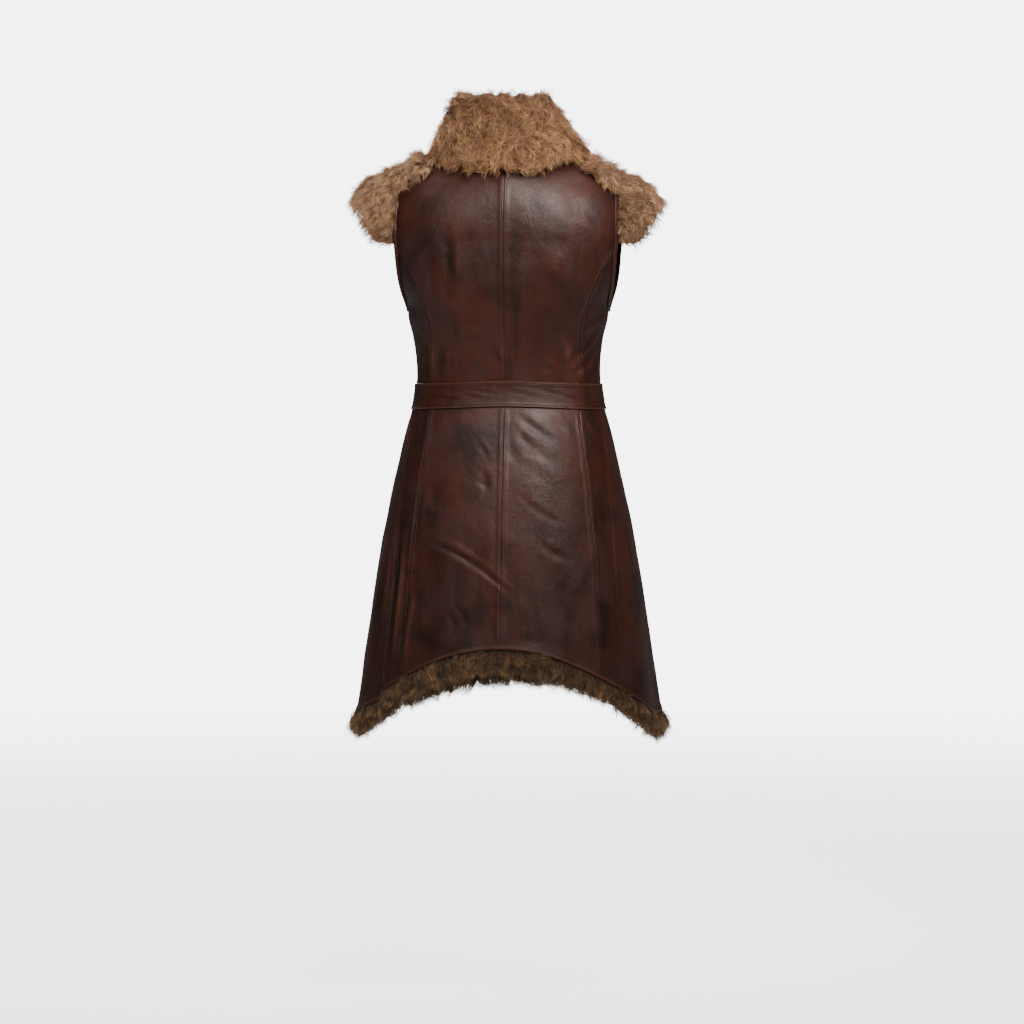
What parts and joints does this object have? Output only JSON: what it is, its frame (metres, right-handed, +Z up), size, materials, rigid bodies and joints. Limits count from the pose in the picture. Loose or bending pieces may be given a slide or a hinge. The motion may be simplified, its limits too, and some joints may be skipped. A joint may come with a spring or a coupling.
{
  "type": "sleeveless leather coat with fur trim",
  "caption": "Knee-length sleeveless leather coat with a high fur collar, fur shoulder caps, a sewn waistband, a flared panelled skirt and a fur hem, standing hollow as worn.",
  "frame": {"origin": "midway between the shoulders at the height of the neck's base, where the wearer's shoulders hold the coat up", "axes": "+Z up, +X towards the wearer's left, and the front faces -Y"},
  "size_m": [0.5855, 0.4059, 1.2005],
  "materials": {
    "back_leather": "worn reddish brown hide with dark patches, soft sheen and fine grain",
    "side_leather": "worn reddish brown hide, a little darker",
    "trim_leather": "folded and topstitched strips of the same hide, darker at the edges",
    "collar_fur": "dense tan fur, paler at the tips and brown at the roots",
    "shoulder_fur": "dense greyish tan fur",
    "hem_fur": "brown fur, darker towards the inside"
  },
  "bodies": {
    "root": {"back_left": "back_leather", "side_back_left": "side_leather", "front_left": "back_leather", "skirt_back_left": "back_leather", "skirt_side_left": "side_leather", "skirt_front_left": "back_leather", "waistband_front_left": "trim_leather", "hem_binding_front_left": "trim_leather", "fur_hem_front_left": "hem_fur", "armhole_facing_left": "trim_leather", "fur_shoulder_left": "shoulder_fur", "fur_cap_left": "shoulder_fur", "back_right": "back_leather", "side_back_right": "side_leather", "front_right": "back_leather", "skirt_back_right": "back_leather", "skirt_side_right": "side_leather", "skirt_front_right": "back_leather", "waistband_front_right": "trim_leather", "hem_binding_front_right": "trim_leather", "fur_hem_front_right": "hem_fur", "armhole_facing_right": "trim_leather", "fur_shoulder_right": "shoulder_fur", "fur_cap_right": "shoulder_fur", "waistband_back": "trim_leather", "hem_binding_back": "trim_leather", "fur_hem_back": "hem_fur", "fur_collar": "collar_fur"}
  },
  "joints": []
}
